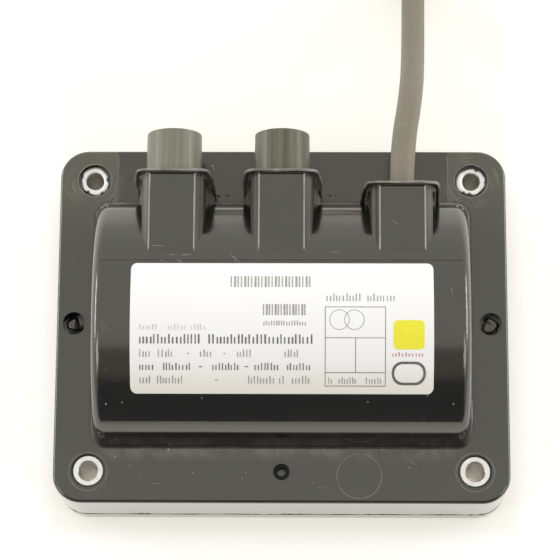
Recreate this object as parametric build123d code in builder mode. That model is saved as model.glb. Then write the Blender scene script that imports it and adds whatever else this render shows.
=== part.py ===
"""Potted ignition transformer in a moulded housing, with two socket tubes and a supply cable.

Millimetres. +Z is up, +Y points the way the sockets and the cable leave. The origin is the
middle of the four mounting holes, on the surface that the base cover stands on.
"""
from build123d import *
from math import atan2, cos, degrees, pi, radians, sin, tan
import os

os.makedirs("parts", exist_ok=True)

# Mounting holes and the outline around them
hole_spacing_x = 100.0
hole_spacing_y = 78.0
side_margin = 9.2
end_margin = 8.3
corner_r = 7.5
edge_r = 1.0

# Heights above the mounting surface
cover_height = 8.0
skirt_height = 27.0
bulge_height = 25.0

# Walls and drafts of the mouldings
wall = 3.0
flange_thickness = 4.0
bulge_wall = 2.6
cover_floor = 2.4
skirt_draft = 0.5
bulge_draft = 1.6
cover_inset = 0.25
panel_depth = 0.2
panel_half_x = 43.9

# Bulge, an arch of three arcs on drafted walls across Y, drawn out along X
bulge_half_x = 48.7
bulge_half_y = 32.4
bulge_side_r = 13.5
bulge_side_lift = 3.5
bulge_side_draft = 12.0
bulge_mid_y = -0.4
bulge_end_r = 3.0
bulge_foot = 2.0

# Towers and socket tubes behind the bulge
tower_share = (-0.577, 0.0, 0.6345)
tower_top_half = 5.8
tower_shoulder_half = 7.8
tower_flare_half = 8.5
tower_foot_half = 10.2
tower_below_bulge = 2.6
tower_shoulder_drop = 2.8
tower_flare = 9.0
tower_edge_r = 0.45
tower_flare_r = 4.0
socket_tower_out = 1.8
cable_tower_in = 1.4
collar_thickness = 1.2
collar_slope = 30.0
collar_top_half = 6.2
collar_shoulder_half = 9.2
collar_foot_half = 10.0
collar_shoulder_drop = 5.0
collar_r = 1.8
socket_drop = 11.0
socket_reach = 14.6
tube_r = 7.1
tube_draft = 0.7
socket_r = 4.0
socket_depth = 20.0
pocket_r = 3.6
pocket_depth = 4.6
pocket_wall = 1.6
socket_boss_r = 5.6

# Tubular rivets through the mounting holes
rivet_bore_r = 2.5
rivet_wall = 0.75
rivet_head_r = 4.25
rivet_rolled_r = 3.6
rivet_head_t = 0.9
rivet_flat_share = 0.55
rivet_flat_r_share = 0.6
rivet_mouth = 0.22
rivet_notches = 6
rivet_notch_r = 0.42
rivet_sink_front = 0.35
rivet_sink_rear = 1.2
rivet_well_r = 4.35
rivet_bottom_gap = 0.4
boss_r = 6.8
fit_gap = 0.1

# Pegs of the base cover, set in wells in the flange
side_peg_x = 54.6
side_peg_r = 1.9
side_well_r = 3.0
side_well_depth = 5.0
side_boss_r = 4.3
front_peg_y = -39.2
front_peg_r = 1.2
front_well_r = 2.15
front_ring_r = 2.95
front_boss_r = 4.4
peg_sink = 2.0
tongue_height = 2.0
tongue_t = 1.6
tongue_gap = 0.15

# Round insert mark in the front of the flange
insert_x = 20.1
insert_y = -40.3
insert_r = 5.85
mark_line = 0.3
mark_depth = 0.12

# Label
label_left_margin = 10.7
label_right_margin = 10.2
label_front_margin = 10.1
label_rear_margin = 22.1
label_corner_r = 1.6
label_t = 0.15
label_glue = 0.03

# Laminated core: a U standing on an I, stacked along Y
core_end_gap = 2.1
core_boss_gap = 1.0
core_top_gap = 16.5
core_floor_gap = 0.6
limb_share = 0.354
leg_width = 11.5
winding_gap = 0.3

# Bobbins and windings on the top limb, one behind the other along X
bobbin_wall = 1.2
cheek_t = 1.2
hv_share = 0.294
window_air = 0.9
primary_step = 1.0
winding_corner_r = 7.5
cheek_rim = 0.5
shunt_t = 5.0
shunt_gap = 1.0
shunt_spacer_t = 0.4

# Connections inside
terminal_spike_r = 1.3
terminal_disc_r = 3.5
terminal_disc_t = 1.2
terminal_stem_r = 1.5
terminal_stem_out = 0.4
lead_r = 0.6
lead_side = 2.0
lead_drop = 6.0
core_wire_r = 1.1
earth_tag_t = 0.8
earth_tag_w = 7.0
earth_tag_h = 9.0
link_r = 0.5
link_drop = 4.0
core_run_in = 2.8
core_spacing = 4.0
core_rise = 2.0

# Supply cable, its coil and its stripped end
cable_r = 3.2
cable_hole_gap = 0.1
cable_reach_in = 9.7
cable_drift = 5.5
coil_mid_r = 32.0
coil_turns = 1.75
coil_lift = 0.8
coil_centre_y = 152.0
tie_width = 5.0
tie_t = 0.7
tie_gap = 0.25
tie_head_h = 2.4
end_core_r = 1.1
ferrule_r = 0.85
ferrule_collar_r = 1.35
ferrule_length = 8.0
ferrule_collar = 4.0

# Sizes that follow from the ones above
flange_length = hole_spacing_x + 2 * side_margin
flange_depth = hole_spacing_y + 2 * end_margin
socket_z = skirt_height + bulge_height - socket_drop
tower_x = [share * bulge_half_x for share in tower_share]
tower_top = bulge_height - tower_below_bulge
tower_shoulder = tower_top - tower_shoulder_drop
socket_tower_back = bulge_half_y + socket_tower_out
cable_tower_back = bulge_half_y - cable_tower_in
socket_tip = bulge_half_y + socket_reach
cable_inside_y = cable_tower_back - cable_reach_in
label_x_low = label_left_margin - bulge_half_x
label_x_high = bulge_half_x - label_right_margin
label_y_low = label_front_margin - bulge_half_y
label_y_high = bulge_half_y - label_rear_margin
core_half = min(bulge_half_x - bulge_wall - core_end_gap, side_peg_x - side_boss_r - core_boss_gap)
core_length = 2 * core_half
core_bottom = cover_floor + core_floor_gap
limb_high = skirt_height + bulge_height - core_top_gap
limb_height = limb_share * (limb_high - core_bottom)
limb_low = limb_high - limb_height
limb_mid = (limb_low + limb_high) / 2
window_height = limb_low - limb_height - core_bottom
window_half = core_half - leg_width
bobbin_bore = winding_gap + bobbin_wall
hv_build = window_height - bobbin_bore - cheek_rim - window_air
primary_build = hv_build - primary_step
pocket_floor_y = socket_tip - socket_depth - pocket_depth
boss_face_y = pocket_floor_y - pocket_wall
stem_end_y = boss_face_y - terminal_stem_out
lead_y = stem_end_y - lead_r
stack_half = lead_y - lead_r - fit_gap - hv_build - bobbin_bore
core_stack = 2 * stack_half
winding_room = 2 * window_half - 4 * winding_gap - shunt_t - shunt_gap
hv_bobbin_length = hv_share * winding_room
primary_bobbin_length = winding_room - 2 * hv_bobbin_length
rivet_r = rivet_bore_r + rivet_wall
wall_turn = radians(bulge_side_draft)
arch_side_y = bulge_half_y - (bulge_side_r + bulge_side_lift * sin(wall_turn)) / cos(wall_turn)
arch_rise = bulge_height - bulge_side_lift
arch_top_r = (arch_side_y**2 + arch_rise**2 - bulge_side_r**2) / (2 * (arch_rise - bulge_side_r))
arch_drop = arch_top_r - bulge_height
coil_pitch = 2 * cable_r
coil_start_r = coil_mid_r + coil_pitch * coil_turns / 2
coil_z = coil_lift + cable_r


def draft_grow(drop, angle):
    """How far a drafted wall moves out over a height."""
    return drop * tan(radians(angle))


def outline_at(z, inset=0.0):
    """Length, depth and corner radius of the skirt's outline at a height."""
    grow = draft_grow(skirt_height - z, skirt_draft) - inset
    return flange_length + 2 * grow, flange_depth + 2 * grow, corner_r + grow


def wire(points, radius, bend, stops=()):
    """A round wire along straight runs with one bend radius, cut off where it meets the stops."""
    with BuildPart() as piece:
        with BuildLine() as path:
            if len(points) == 2:
                Line(*points)
            else:
                FilletPolyline(*points, radius=bend)
        with BuildSketch(path.line ^ 0):
            Circle(radius)
        sweep()
        for stop in stops:
            add(stop, mode=Mode.SUBTRACT)
    return piece.part


def winding_block(x_low, x_high, build, bore):
    """A closed band of wire around the top limb, with rounded outer corners."""
    with BuildPart() as piece:
        with BuildSketch(Plane.YZ.offset(x_low)):
            with Locations((0, limb_mid)):
                RectangleRounded(
                    core_stack + 2 * (bore + build), limb_height + 2 * (bore + build), winding_corner_r
                )
                Rectangle(core_stack + 2 * bore, limb_height + 2 * bore, mode=Mode.SUBTRACT)
        extrude(amount=x_high - x_low)
    return piece.part


def bobbin_block(x_low, length, build):
    """A square tube over the limb with a cheek at each end."""
    outer_y = core_stack + 2 * (winding_gap + bobbin_wall)
    outer_z = limb_height + 2 * (winding_gap + bobbin_wall)
    rim = 2 * (build + cheek_rim)
    with BuildPart() as piece:
        with BuildSketch(Plane.YZ.offset(x_low)):
            with Locations((0, limb_mid)):
                Rectangle(outer_y, outer_z)
        extrude(amount=length)
        for start in (x_low, x_low + length - cheek_t):
            with BuildSketch(Plane.YZ.offset(start)):
                with Locations((0, limb_mid)):
                    RectangleRounded(outer_y + rim, outer_z + rim, winding_corner_r)
            extrude(amount=cheek_t)
        with BuildSketch(Plane.YZ.offset(x_low)):
            with Locations((0, limb_mid)):
                Rectangle(core_stack + 2 * winding_gap, limb_height + 2 * winding_gap)
        extrude(amount=length, mode=Mode.SUBTRACT)
    return piece.part


def arch_face(offset, foot=0.0):
    """The bulge's section, moved out by an offset: drafted walls, two side arcs and a top arc."""
    turn = degrees(atan2(bulge_side_lift + arch_drop, arch_side_y))
    low, high = bulge_mid_y - arch_side_y, bulge_mid_y + arch_side_y
    side_z = skirt_height + bulge_side_lift
    side_r = bulge_side_r + offset
    foot_y = bulge_half_y + offset / cos(wall_turn) + foot * tan(wall_turn)
    reach = (side_r * cos(wall_turn), side_r * sin(wall_turn))
    with BuildSketch(Plane.YZ) as face:
        with BuildLine():
            Line((bulge_mid_y + foot_y, skirt_height - foot), (high + reach[0], side_z + reach[1]))
            CenterArc((high, side_z), side_r, bulge_side_draft, turn - bulge_side_draft)
            CenterArc((bulge_mid_y, skirt_height - arch_drop), arch_top_r + offset, turn, 180 - 2 * turn)
            CenterArc((low, side_z), side_r, 180 - turn, turn - bulge_side_draft)
            Line((low - reach[0], side_z + reach[1]), (bulge_mid_y - foot_y, skirt_height - foot))
            Line((bulge_mid_y - foot_y, skirt_height - foot), (bulge_mid_y + foot_y, skirt_height - foot))
        make_face()
    return face.sketch


def bulge_block(inset, draft, end_r=0.0, foot=0.0):
    """The arch drawn out along X, with drafted ends that may be rounded."""
    half_x = bulge_half_x - inset + draft_grow(foot, draft)
    with BuildPart() as piece:
        extrude(arch_face(-inset, foot), amount=half_x, both=True)
        with BuildSketch(Plane.XY.offset(skirt_height - foot)):
            with Locations((0, bulge_mid_y)):
                Rectangle(2 * half_x, 3 * bulge_half_y)
        extrude(amount=bulge_height + foot + 1, taper=draft, mode=Mode.INTERSECT)
        if end_r > 0:
            end_edges = (
                piece.edges()
                .filter_by(lambda edge: abs(edge.center().X) > half_x - 5)
                .filter_by(lambda edge: edge.center().Z > skirt_height - foot + 0.1)
            )
            fillet(end_edges, radius=end_r)
    return piece.part


def tower_block(x, back):
    """One tower, from inside the bulge to its back face, with a sloped collar round the back face."""
    with BuildPart() as piece:
        with BuildSketch(Plane(origin=(x, back, skirt_height), x_dir=(1, 0, 0), z_dir=(0, -1, 0))) as section:
            with BuildLine():
                Polyline(
                    (-tower_foot_half, -1),
                    (-tower_flare_half, tower_flare),
                    (-tower_shoulder_half, tower_shoulder),
                    (-tower_top_half, tower_top),
                    (tower_top_half, tower_top),
                    (tower_shoulder_half, tower_shoulder),
                    (tower_flare_half, tower_flare),
                    (tower_foot_half, -1),
                    close=True,
                )
            make_face()
            levels = section.vertices().group_by(Axis.Y)
            fillet(levels[-1] + levels[-2], radius=tower_edge_r)
            fillet(levels[1], radius=tower_flare_r)
        extrude(amount=back - bulge_mid_y)
        rim_origin = (x, back + collar_thickness, skirt_height)
        rim_plane = Plane(origin=rim_origin, x_dir=(1, 0, 0), z_dir=(0, -1, 0))
        with BuildSketch(rim_plane) as rim:
            with BuildLine():
                Polyline(
                    (-collar_foot_half, -1),
                    (-collar_shoulder_half, tower_top - collar_shoulder_drop),
                    (-collar_top_half, tower_top),
                    (collar_top_half, tower_top),
                    (collar_shoulder_half, tower_top - collar_shoulder_drop),
                    (collar_foot_half, -1),
                    close=True,
                )
            make_face()
            levels = rim.vertices().group_by(Axis.Y)
            fillet(levels[-1] + levels[-2], radius=collar_r)
        extrude(amount=collar_thickness, taper=collar_slope)
    return piece.part


# The space inside the two mouldings, before the bosses and the inner pieces
inner_length, inner_depth, inner_r = outline_at(cover_height, wall)
with BuildPart() as cavity:
    with BuildSketch(Plane.XY.offset(cover_floor)):
        RectangleRounded(inner_length, inner_depth, inner_r)
    extrude(amount=skirt_height - flange_thickness - cover_floor)
    add(bulge_block(bulge_wall, bulge_draft))
    with BuildSketch(Plane.XY.offset(skirt_height - flange_thickness)):
        with Locations((0, bulge_mid_y)):
            Rectangle(2 * (bulge_half_x - bulge_wall), 2 * (bulge_half_y - bulge_wall))
    extrude(amount=flange_thickness)
    with BuildSketch(Plane.XY.offset(cover_floor)):
        with GridLocations(hole_spacing_x, hole_spacing_y, 2, 2):
            Circle(boss_r)
        with Locations((-side_peg_x, 0), (side_peg_x, 0)):
            Circle(side_boss_r)
        with Locations((0, front_peg_y)):
            Circle(front_boss_r)
    extrude(amount=skirt_height - cover_floor, mode=Mode.SUBTRACT)
    for x in tower_x[:2]:
        with BuildSketch(Plane.XZ.offset(-(socket_tip - socket_depth - pocket_depth - pocket_wall))):
            with Locations((x, socket_z)):
                Circle(socket_boss_r)
        extrude(amount=-(socket_depth + pocket_depth), mode=Mode.SUBTRACT)

# Housing: skirt and flange, bulge, towers and socket tubes in one moulding
with BuildPart() as housing:
    with BuildSketch(Plane.XY.offset(skirt_height)):
        RectangleRounded(flange_length, flange_depth, corner_r)
    extrude(amount=-(skirt_height - cover_height), taper=-skirt_draft)
    fillet(housing.faces().sort_by(Axis.Z)[-1].edges(), radius=edge_r)
    with BuildSketch(Plane.XY.offset(skirt_height - panel_depth)):
        with Locations((0, flange_depth / 2)):
            Rectangle(2 * panel_half_x, 2 * (flange_depth / 2 - bulge_half_y + 4))
    extrude(amount=panel_depth + 1, mode=Mode.SUBTRACT)
    add(bulge_block(0, bulge_draft, bulge_end_r, bulge_foot))
    for x in tower_x[:2]:
        add(tower_block(x, socket_tower_back))
        with BuildSketch(Plane.XZ.offset(-socket_tip)):
            with Locations((x, socket_z)):
                Circle(tube_r)
        extrude(amount=socket_tip - socket_tower_back + 2, taper=-tube_draft)
    add(tower_block(tower_x[2], cable_tower_back))
    add(cavity.part, mode=Mode.SUBTRACT)
    for x in tower_x[:2]:
        with Locations(Plane(origin=(x, socket_tip, socket_z), z_dir=(0, 1, 0))):
            CounterBoreHole(
                radius=pocket_r,
                counter_bore_radius=socket_r,
                counter_bore_depth=socket_depth,
                depth=socket_depth + pocket_depth,
            )
            Hole(terminal_stem_r + fit_gap, depth=socket_depth + pocket_depth + pocket_wall + 1)
    cable_hole_y = cable_tower_back + collar_thickness
    with Locations(Plane(origin=(tower_x[2], cable_hole_y, socket_z), z_dir=(0, 1, 0))):
        Hole(cable_r + cable_hole_gap, depth=cable_hole_y - cable_inside_y + 2)
    with Locations(Plane.XY.offset(skirt_height)):
        with GridLocations(hole_spacing_x, hole_spacing_y, 2, 2):
            Hole(rivet_r + fit_gap, depth=skirt_height)
        with Locations((-hole_spacing_x / 2, hole_spacing_y / 2), (hole_spacing_x / 2, hole_spacing_y / 2)):
            Hole(rivet_well_r, depth=rivet_sink_rear + rivet_head_t)
        with Locations((-hole_spacing_x / 2, -hole_spacing_y / 2), (hole_spacing_x / 2, -hole_spacing_y / 2)):
            Hole(rivet_well_r, depth=rivet_sink_front + rivet_head_t)
        with Locations((-side_peg_x, 0), (side_peg_x, 0)):
            Hole(side_peg_r + fit_gap, depth=skirt_height)
            Hole(side_well_r, depth=side_well_depth)
        with Locations((0, front_peg_y)):
            Hole(front_peg_r + fit_gap, depth=skirt_height)
            Hole(front_well_r, depth=side_well_depth)
    with BuildSketch(Plane.XY.offset(skirt_height)):
        for place, radius in (((0, front_peg_y), front_ring_r), ((insert_x, insert_y), insert_r)):
            with Locations(place):
                Circle(radius)
                Circle(radius - mark_line, mode=Mode.SUBTRACT)
    extrude(amount=-mark_depth, mode=Mode.SUBTRACT)
housing.part.label = "housing"
export_step(housing.part, "parts/housing.step")

# Base cover: a tray with a tongue, bosses under the rivets and three pegs
cover_length, cover_depth, cover_r = outline_at(cover_height, cover_inset)
with BuildPart() as base_cover:
    with BuildSketch(Plane.XY.offset(cover_height)):
        RectangleRounded(cover_length, cover_depth, cover_r)
    extrude(amount=-cover_height, taper=-skirt_draft)
    fillet(base_cover.faces().sort_by(Axis.Z)[0].edges(), radius=edge_r)
    with BuildSketch(Plane.XY.offset(cover_height)):
        RectangleRounded(inner_length - 2 * tongue_gap, inner_depth - 2 * tongue_gap, inner_r - tongue_gap)
    extrude(amount=tongue_height)
    with BuildSketch(Plane.XY.offset(cover_floor)):
        RectangleRounded(
            inner_length - 2 * tongue_gap - 2 * tongue_t,
            inner_depth - 2 * tongue_gap - 2 * tongue_t,
            inner_r - tongue_t,
        )
    extrude(amount=cover_height, mode=Mode.SUBTRACT)
    with BuildSketch(Plane.XY.offset(cover_height)):
        with GridLocations(hole_spacing_x, hole_spacing_y, 2, 2):
            Circle(boss_r + tongue_gap)
        with Locations((-side_peg_x, 0), (side_peg_x, 0)):
            Circle(side_boss_r + tongue_gap)
        with Locations((0, front_peg_y)):
            Circle(front_boss_r + tongue_gap)
    extrude(amount=tongue_height, mode=Mode.SUBTRACT)
    with BuildSketch(Plane.XY.offset(cover_floor)):
        with GridLocations(hole_spacing_x, hole_spacing_y, 2, 2):
            Circle(boss_r)
        with Locations((-side_peg_x, 0), (side_peg_x, 0)):
            Circle(side_boss_r)
        with Locations((0, front_peg_y)):
            Circle(front_boss_r)
    extrude(amount=cover_height - cover_floor)
    with BuildSketch(Plane.XY.offset(cover_floor)):
        with Locations((-side_peg_x, 0), (side_peg_x, 0)):
            Circle(side_peg_r)
        with Locations((0, front_peg_y)):
            Circle(front_peg_r)
    extrude(amount=skirt_height - peg_sink - cover_floor)
    with Locations(Plane.XY.offset(cover_height)):
        with GridLocations(hole_spacing_x, hole_spacing_y, 2, 2):
            Hole(rivet_r + fit_gap, depth=cover_height)
    with Locations(Plane(origin=(0, 0, 0), z_dir=(0, 0, -1))):
        with GridLocations(hole_spacing_x, hole_spacing_y, 2, 2):
            Hole(rivet_head_r + fit_gap, depth=rivet_head_t + rivet_bottom_gap)
base_cover.part.label = "base_cover"
export_step(base_cover.part, "parts/base_cover.step")


def rivet(name, x, y, sink, top_r, notches=0):
    """A tubular rivet: a head at one end and a rolled lip at the other, which may be split."""
    top = skirt_height - sink
    bottom_r = rivet_head_r + rivet_rolled_r - top_r
    with BuildPart() as piece:
        with BuildSketch(Plane(origin=(x, y, 0), x_dir=(1, 0, 0), z_dir=(0, -1, 0))):
            with BuildLine():
                Polyline(
                    (rivet_bore_r, rivet_bottom_gap),
                    (bottom_r, rivet_bottom_gap),
                    (bottom_r, rivet_bottom_gap + rivet_head_t),
                    (rivet_r, rivet_bottom_gap + rivet_head_t),
                    (rivet_r, top - rivet_head_t),
                    (top_r, top - rivet_head_t),
                    (top_r, top - rivet_head_t * rivet_flat_share),
                    (top_r - rivet_wall * rivet_flat_r_share, top),
                    (rivet_bore_r + rivet_mouth, top),
                    (rivet_bore_r, top - rivet_mouth),
                    close=True,
                )
            make_face()
        revolve(axis=Axis((x, y, 0), (0, 0, 1)))
        if notches:
            with BuildSketch(Plane.XY.offset(top)):
                with Locations((x, y)):
                    with PolarLocations(top_r + rivet_notch_r / 3, notches):
                        Circle(rivet_notch_r)
            extrude(amount=-rivet_head_t, mode=Mode.SUBTRACT)
    piece.part.label = name
    export_step(piece.part, f"parts/{name}.step")


for side, x in (("left", -hole_spacing_x / 2), ("right", hole_spacing_x / 2)):
    rivet(f"eyelet_front_{side}", x, -hole_spacing_y / 2, rivet_sink_front, rivet_head_r)
    rivet(f"eyelet_rear_{side}", x, hole_spacing_y / 2, rivet_sink_rear, rivet_rolled_r, rivet_notches)

# Rating label, a film that follows the bulge
with BuildPart() as rating_label:
    extrude(arch_face(label_glue + label_t), amount=bulge_half_x, both=True)
    extrude(arch_face(label_glue), amount=bulge_half_x, both=True, mode=Mode.SUBTRACT)
    with BuildSketch(Plane.XY.offset(skirt_height)):
        with Locations(((label_x_low + label_x_high) / 2, (label_y_low + label_y_high) / 2)):
            RectangleRounded(label_x_high - label_x_low, label_y_high - label_y_low, label_corner_r)
    extrude(amount=bulge_height + 1, mode=Mode.INTERSECT)
rating_label.part.label = "rating_label"
export_step(rating_label.part, "parts/rating_label.step")

# Laminated core
with BuildPart() as core_u_stack:
    with BuildSketch(Plane.XZ.offset(-stack_half)):
        with Locations((0, (core_bottom + limb_height + limb_high) / 2)):
            Rectangle(core_length, limb_high - core_bottom - limb_height)
        with Locations((0, core_bottom + limb_height + window_height / 2)):
            Rectangle(2 * window_half, window_height, mode=Mode.SUBTRACT)
    extrude(amount=core_stack)
core_u_stack.part.label = "core_u_stack"
export_step(core_u_stack.part, "parts/core_u_stack.step")

with BuildPart() as core_i_stack:
    with BuildSketch(Plane.XZ.offset(-stack_half)):
        with Locations((0, core_bottom + limb_height / 2)):
            Rectangle(core_length, limb_height)
    extrude(amount=core_stack)
core_i_stack.part.label = "core_i_stack"
export_step(core_i_stack.part, "parts/core_i_stack.step")

# Bobbins, windings and the magnetic shunt between them, from left to right
left_start = -window_half + winding_gap
right_start = left_start + hv_bobbin_length + winding_gap
shunt_start = right_start + hv_bobbin_length + winding_gap
primary_end = window_half - winding_gap
primary_start = primary_end - primary_bobbin_length


def coil_set(name, x_low, length, build):
    """A bobbin and its winding."""
    bobbin = bobbin_block(x_low, length, build)
    bobbin.label = f"{name}_bobbin"
    export_step(bobbin, f"parts/{name}_bobbin.step")
    winding = winding_block(x_low + cheek_t, x_low + length - cheek_t, build, bobbin_bore)
    winding.label = f"{name}_winding"
    export_step(winding, f"parts/{name}_winding.step")
    return [bobbin, winding]


coil_pieces = coil_set("hv_left", left_start, hv_bobbin_length, hv_build)
coil_pieces += coil_set("hv_right", right_start, hv_bobbin_length, hv_build)
coil_pieces += coil_set("primary", primary_start, primary_bobbin_length, primary_build)

shunt_low = core_bottom + limb_height + shunt_spacer_t
shunt_high = limb_low - shunt_spacer_t
with BuildPart() as shunt_pack:
    with BuildSketch(Plane.XZ.offset(-stack_half)):
        with Locations((shunt_start + shunt_t / 2, (shunt_low + shunt_high) / 2)):
            Rectangle(shunt_t, shunt_high - shunt_low)
    extrude(amount=core_stack)
shunt_pack.part.label = "shunt_pack"
export_step(shunt_pack.part, "parts/shunt_pack.step")

shunt_pieces = [shunt_pack.part]
for name, z in (("shunt_spacer_lower", core_bottom + limb_height), ("shunt_spacer_upper", shunt_high)):
    with BuildPart() as spacer:
        with BuildSketch(Plane.XY.offset(z)):
            with Locations((shunt_start + shunt_t / 2, 0)):
                Rectangle(shunt_t, core_stack)
        extrude(amount=shunt_spacer_t)
    spacer.part.label = name
    export_step(spacer.part, f"parts/{name}.step")
    shunt_pieces.append(spacer.part)

# High voltage terminals: a disc seated in the pocket, a spike to the front, a stem to the inside
terminals = []
for name, x in (("hv_terminal_left", tower_x[0]), ("hv_terminal_right", tower_x[1])):
    with BuildPart() as terminal:
        with BuildSketch(Plane(origin=(x, 0, socket_z), x_dir=(1, 0, 0), z_dir=(0, 0, 1))):
            with BuildLine():
                Polyline(
                    (0, stem_end_y),
                    (terminal_stem_r, stem_end_y),
                    (terminal_stem_r, pocket_floor_y),
                    (terminal_disc_r, pocket_floor_y),
                    (terminal_disc_r, pocket_floor_y + terminal_disc_t),
                    (terminal_spike_r, pocket_floor_y + terminal_disc_t),
                    (terminal_spike_r, pocket_floor_y + pocket_depth * 0.6),
                    (0, pocket_floor_y + pocket_depth - fit_gap),
                    close=True,
                )
            make_face()
        revolve(axis=Axis((x, 0, socket_z), (0, 1, 0)))
    terminal.part.label = name
    export_step(terminal.part, f"parts/{name}.step")
    terminals.append(terminal.part)

# High voltage leads, from the outer layer of each winding to the stem of its terminal
leads = []
for name, x, side, terminal in (
    ("hv_lead_left", tower_x[0], lead_side, terminals[0]),
    ("hv_lead_right", tower_x[1], -lead_side, terminals[1]),
):
    lead_path = [(x + side, lead_y, socket_z - lead_drop), (x, lead_y, socket_z)]
    lead = wire(lead_path, lead_r, 1, [terminal])
    lead.label = name
    export_step(lead, f"parts/{name}.step")
    leads.append(lead)

# Earth tag riveted flat on the core's right leg, with the bare link that earths the centre tap
leg_x = core_half - leg_width / 2
tag_z = (core_bottom + limb_height + limb_high) / 2
with BuildPart() as earth_tag:
    with BuildSketch(Plane.XZ.offset(-stack_half)):
        with Locations((leg_x, tag_z)):
            RectangleRounded(earth_tag_w, earth_tag_h, 1.5)
    extrude(amount=-earth_tag_t)
earth_tag.part.label = "earth_tag"
export_step(earth_tag.part, "parts/earth_tag.step")

link_y = stack_half + bobbin_bore + hv_build + cheek_rim + link_r
centre_tap_link = wire(
    [
        (left_start + hv_bobbin_length / 2, link_y, limb_mid - link_drop),
        (primary_end, link_y, limb_mid - link_drop),
        (leg_x, stack_half + earth_tag_t + link_r, tag_z),
    ],
    link_r,
    3,
)
centre_tap_link.label = "centre_tap_link"
export_step(centre_tap_link, "parts/centre_tap_link.step")

# Supply cable: out of its tower, down to the surface, then along it to the coil
cable_x = tower_x[2]
coil_centre_x = cable_x + cable_drift - coil_start_r
cable_route = [
    (cable_x, cable_inside_y, socket_z),
    (cable_x, 42.0, socket_z),
    (cable_x + 3.3, 62.0, 31.5),
    (cable_x + 4.5, 79.0, 15.0),
    (cable_x + 5.1, 98.0, 4.2),
    (cable_x + cable_drift, 119.0, cable_r + 0.1),
    (cable_x + cable_drift, 137.0, cable_r + 0.2),
    (coil_centre_x + coil_start_r, coil_centre_y, coil_z),
]


def arc_radii(points, share=0.45):
    """The largest arc that the two runs beside each point allow."""
    radii = []
    for before, here, after in zip(points, points[1:], points[2:]):
        run_in = Vector(*here) - Vector(*before)
        run_out = Vector(*after) - Vector(*here)
        turn = radians(run_in.get_angle(run_out))
        radii.append(share * min(run_in.length, run_out.length) / tan(turn / 2))
    return radii


with BuildPart() as supply_cable:
    with BuildLine() as cable_line:
        FilletPolyline(*cable_route, radius=arc_radii(cable_route))
    with BuildSketch(cable_line.line ^ 0):
        Circle(cable_r)
    sweep()
supply_cable.part.label = "supply_cable"
export_step(supply_cable.part, "parts/supply_cable.step")

# Ends of the supply cores inside the housing
core_end_y = stack_half + bobbin_bore + primary_build + core_wire_r
neutral_x = primary_end - core_run_in
inner_cores = []
for name, offset, target in (
    ("live_lead", (-1.2, 0.7), (neutral_x - core_spacing, core_end_y, limb_mid + core_rise)),
    ("neutral_lead", (0.0, -1.4), (neutral_x, core_end_y, limb_mid + core_rise / 2)),
    ("earth_lead", (1.2, 0.7), (leg_x, stack_half + earth_tag_t + core_wire_r, tag_z + earth_tag_h / 2)),
):
    start = (cable_x + offset[0], cable_inside_y + core_wire_r, socket_z + offset[1])
    core = wire([start, target], core_wire_r, 1, [supply_cable.part])
    core.label = name
    export_step(core, f"parts/{name}.step")
    inner_cores.append(core)


def spiral_point(turns, offset):
    """A point on the flat coil, some turns in, moved out from the cable's centre line."""
    r = coil_start_r - coil_pitch * turns + offset
    return coil_centre_x + r * cos(2 * pi * turns), coil_centre_y + r * sin(2 * pi * turns)


def spiral_arcs(start, quarters, offset):
    """Quarter turns of the coil's edge, one arc each."""
    for step in range(quarters):
        first = start + step * 0.25
        ThreePointArc(*[spiral_point(first + part, offset) for part in (0.0, 0.125, 0.25)])


# The put-away length: a flat coil, one closed solid of its outer shape
with BuildPart() as supply_cable_coil:
    with BuildSketch(Plane.XY.offset(coil_lift)):
        with BuildLine():
            spiral_arcs(0, 4, cable_r)
            Line(spiral_point(1, cable_r), spiral_point(0, cable_r))
        make_face()
        with BuildLine():
            spiral_arcs(1, 3, -cable_r)
            Line(spiral_point(coil_turns, -cable_r), spiral_point(coil_turns, cable_r))
            spiral_arcs(coil_turns - 1, 1, -cable_r)
        make_face(mode=Mode.SUBTRACT)
    extrude(amount=2 * cable_r)
    add(supply_cable.part, mode=Mode.SUBTRACT)
supply_cable_coil.part.label = "supply_cable_coil"
export_step(supply_cable_coil.part, "parts/supply_cable_coil.step")

# Tie round the coil on the side away from the cable
tie_out = spiral_point(0.5, cable_r + tie_gap)[0]
tie_in = spiral_point(1.5, -cable_r - tie_gap)[0]
with BuildPart() as coil_tie:
    with BuildSketch(Plane.XZ.offset(-coil_centre_y - tie_width / 2)):
        with Locations(((tie_in + tie_out) / 2, coil_z)):
            RectangleRounded(abs(tie_in - tie_out) + 2 * tie_t, 2 * (cable_r + tie_t), 1.2)
            Rectangle(abs(tie_in - tie_out), 2 * cable_r + fit_gap, mode=Mode.SUBTRACT)
        with Locations(((tie_in + tie_out) / 2, coil_z + cable_r + tie_t + tie_head_h / 2)):
            Rectangle(tie_width, tie_head_h)
    extrude(amount=tie_width)
coil_tie.part.label = "coil_tie"
export_step(coil_tie.part, "parts/coil_tie.step")

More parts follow.
